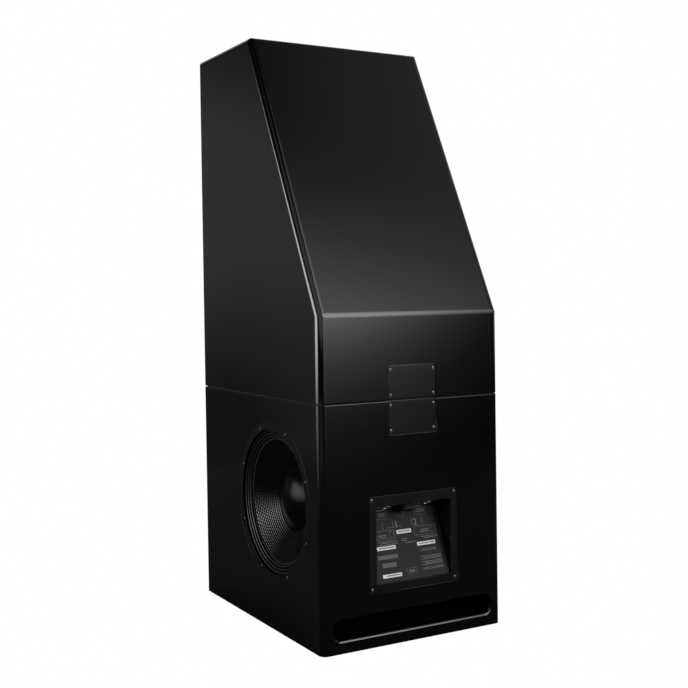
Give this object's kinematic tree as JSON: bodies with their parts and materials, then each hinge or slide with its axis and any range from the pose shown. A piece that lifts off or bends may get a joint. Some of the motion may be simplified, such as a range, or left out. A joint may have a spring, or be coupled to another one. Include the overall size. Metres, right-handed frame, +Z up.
{
  "type": "subwoofer and main monitor stack",
  "caption": "Black floor-standing studio monitor: a subwoofer cabinet with side woofers and a rear slot port, carrying a main cabinet with a sloping back.",
  "frame": {"origin": "middle of the footprint, on the floor", "axes": "+Z up, the front baffle faces -Y and the sloping back, port and sockets face +Y, +X is the right side seen from the front"},
  "size_m": [0.5, 0.67, 1.458],
  "materials": {
    "cabinet_paint": "satin black fine-textured paint on fibreboard",
    "plywood": "bare birch plywood",
    "port_plastic": "matt black",
    "terminal_metal": "fine black powder coat",
    "label_metal": "black anodised with grey printing",
    "socket_brass": "worn brass",
    "socket_plastic": "moulded black",
    "cover_metal": "satin black",
    "screw_steel": "bright zinc",
    "black_screw": "black oxide",
    "gasket_rubber": "matt",
    "waveguide_plastic": "fine moulded texture",
    "basket_metal": "cast, painted satin black",
    "surround_cloth": "coated rolled cloth",
    "spider_cloth": "resin-treated cloth",
    "motor_steel": "dull plated steel and ferrite",
    "cone_fibre": "ribbed pulp",
    "cap_fibre": "satin pressed dome",
    "coil_copper": "enamelled wire",
    "mid_rubber": "satin",
    "dome_metal": "brushed dome"
  },
  "bodies": {
    "cabinets": {"lower_front_panel": "cabinet_paint", "lower_rear_panel": "cabinet_paint", "lower_left_panel": "cabinet_paint", "lower_right_panel": "cabinet_paint", "lower_top_panel": "cabinet_paint", "lower_base_panel": "cabinet_paint", "lower_brace": "plywood", "port_duct": "port_plastic", "port_mouth": "cabinet_paint", "terminal_tray": "terminal_metal", "terminal_label_plate": "label_metal", "amp_sockets": "socket_brass", "link_socket": "socket_plastic", "tray_screws": "screw_steel", "upper_joint_plate": "cover_metal", "lower_joint_plate": "cover_metal", "joint_plate_screws": "screw_steel", "seam_gasket": "gasket_rubber", "alignment_dowels": "plywood", "upper_front_baffle": "cabinet_paint", "upper_left_panel": "cabinet_paint", "upper_right_panel": "cabinet_paint", "upper_top_panel": "cabinet_paint", "upper_slope_panel": "cabinet_paint", "upper_rear_panel": "cabinet_paint", "upper_base_panel": "cabinet_paint", "upper_shelf": "plywood", "waveguide": "waveguide_plastic", "woofer_screws": "black_screw", "left_flange": "basket_metal", "left_basket": "basket_metal", "left_surround": "surround_cloth", "left_spider": "spider_cloth", "left_motor": "motor_steel", "right_flange": "basket_metal", "right_basket": "basket_metal", "right_surround": "surround_cloth", "right_spider": "spider_cloth", "right_motor": "motor_steel", "front_flange": "basket_metal", "front_basket": "basket_metal", "front_surround": "surround_cloth", "front_spider": "spider_cloth", "front_motor": "motor_steel", "mid_frames": "basket_metal", "mid_surrounds": "mid_rubber", "coax_frame": "basket_metal", "coax_surround": "mid_rubber"},
    "left_woofer_diaphragm": {"left_cone": "cone_fibre", "left_dust_cap": "cap_fibre", "left_voice_coil": "coil_copper"},
    "right_woofer_diaphragm": {"right_cone": "cone_fibre", "right_dust_cap": "cap_fibre", "right_voice_coil": "coil_copper"},
    "front_woofer_diaphragm": {"front_cone": "cone_fibre", "front_dust_cap": "cap_fibre", "front_voice_coil": "coil_copper"},
    "mid_1_diaphragm": {"mid_1_cone": "cone_fibre"},
    "mid_2_diaphragm": {"mid_2_cone": "cone_fibre"},
    "mid_3_diaphragm": {"mid_3_cone": "cone_fibre"},
    "mid_4_diaphragm": {"mid_4_cone": "cone_fibre"},
    "coax_diaphragm": {"coax_cone": "cone_fibre"},
    "tweeter_diaphragm": {"tweeter_dome": "dome_metal"}
  },
  "joints": [
    {"name": "left_woofer_travel", "type": "slide", "parent": "cabinets", "child": "left_woofer_diaphragm", "axis": [-1, 0, 0], "range_m": [-0.01, 0.01], "stiffness_N_per_m": 6000, "deforming": ["left_surround", "left_spider"]},
    {"name": "right_woofer_travel", "type": "slide", "parent": "cabinets", "child": "right_woofer_diaphragm", "axis": [1, 0, 0], "range_m": [-0.01, 0.01], "stiffness_N_per_m": 6000, "deforming": ["right_surround", "right_spider"]},
    {"name": "front_woofer_travel", "type": "slide", "parent": "cabinets", "child": "front_woofer_diaphragm", "axis": [0, -1, 0], "range_m": [-0.01, 0.01], "stiffness_N_per_m": 6000, "deforming": ["front_surround", "front_spider"]},
    {"name": "mid_1_travel", "type": "slide", "parent": "cabinets", "child": "mid_1_diaphragm", "axis": [0, -1, 0], "range_m": [-0.003, 0.003], "stiffness_N_per_m": 2500, "deforming": ["mid_surrounds"]},
    {"name": "mid_2_travel", "type": "slide", "parent": "cabinets", "child": "mid_2_diaphragm", "axis": [0, -1, 0], "range_m": [-0.003, 0.003], "stiffness_N_per_m": 2500, "deforming": ["mid_surrounds"]},
    {"name": "mid_3_travel", "type": "slide", "parent": "cabinets", "child": "mid_3_diaphragm", "axis": [0, -1, 0], "range_m": [-0.003, 0.003], "stiffness_N_per_m": 2500, "deforming": ["mid_surrounds"]},
    {"name": "mid_4_travel", "type": "slide", "parent": "cabinets", "child": "mid_4_diaphragm", "axis": [0, -1, 0], "range_m": [-0.003, 0.003], "stiffness_N_per_m": 2500, "deforming": ["mid_surrounds"]},
    {"name": "coax_travel", "type": "slide", "parent": "cabinets", "child": "coax_diaphragm", "axis": [0, -1, 0], "range_m": [-0.003, 0.003], "stiffness_N_per_m": 2500, "deforming": ["coax_surround"]},
    {"name": "tweeter_travel", "type": "slide", "parent": "cabinets", "child": "tweeter_diaphragm", "axis": [0, -1, 0], "range_m": [-0.0005, 0.0005], "stiffness_N_per_m": 2500}
  ]
}
